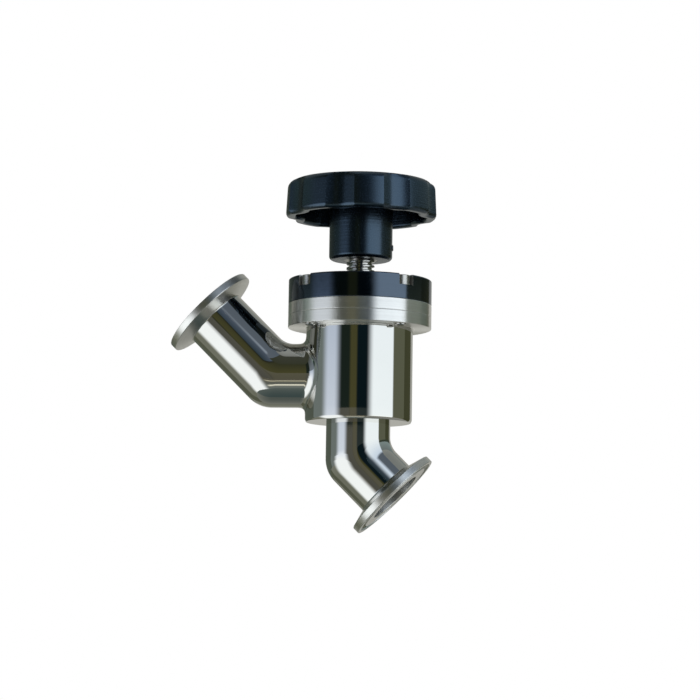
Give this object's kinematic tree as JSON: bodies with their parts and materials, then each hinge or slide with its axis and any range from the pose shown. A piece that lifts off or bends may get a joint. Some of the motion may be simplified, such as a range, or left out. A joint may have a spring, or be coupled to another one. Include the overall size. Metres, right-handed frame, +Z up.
{
  "type": "diaphragm valve",
  "caption": "Angle-pattern diaphragm valve with a polished steel body, bent branches with clamp ferrules, a black bonnet and a rising lobed handwheel.",
  "frame": {"origin": "centre of the outlet ferrule's face", "axes": "+Z up along the spindle towards the handwheel, +X from the side branch towards the outlet, +Y across both branches"},
  "size_m": [0.1315, 0.0754, 0.1755],
  "materials": {
    "polished_steel": "mirror polished stainless steel",
    "satin_steel": "satin turned stainless steel",
    "screw_steel": "bright stainless steel",
    "black_anodised": "black anodised, satin",
    "black_plastic": "moulded black plastic, satin",
    "diaphragm_rubber": "moulded white elastomer",
    "wiper_rubber": "black elastomer",
    "bronze": "machined bronze"
  },
  "bodies": {
    "valve": {"valve_body": "polished_steel", "side_elbow": "polished_steel", "side_weld": "polished_steel", "side_ferrule": "satin_steel", "outlet_tube": "polished_steel", "outlet_elbow": "polished_steel", "outlet_ferrule": "satin_steel", "diaphragm": "diaphragm_rubber", "bonnet_ring": "satin_steel", "bonnet": "black_anodised", "cap_screws": "screw_steel", "spindle_nut": "bronze", "stem_wiper": "wiper_rubber", "guide_dowels": "screw_steel"},
    "compressor": {"compressor": "satin_steel", "diaphragm_stud": "screw_steel", "thrust_washer": "bronze", "retaining_ring": "screw_steel"},
    "handwheel": {"spindle": "screw_steel", "hub_bush": "screw_steel", "handwheel": "black_plastic", "hub_pin": "black_anodised"}
  },
  "joints": [
    {"name": "diaphragm_stroke", "type": "slide", "parent": "valve", "child": "compressor", "axis": [0, 0, -1], "range_m": [0, 0.008], "deforming": ["diaphragm"]},
    {"name": "handwheel_turn", "type": "hinge", "parent": "compressor", "child": "handwheel", "pos_m": [-0.01881, 0, 0.09541], "axis": [0, 0, -1], "range_deg": [0, 1152]}
  ],
  "couplings": [
    {"joint": "handwheel_turn", "follows": "diaphragm_stroke", "rad_per_m": 2513.3}
  ]
}
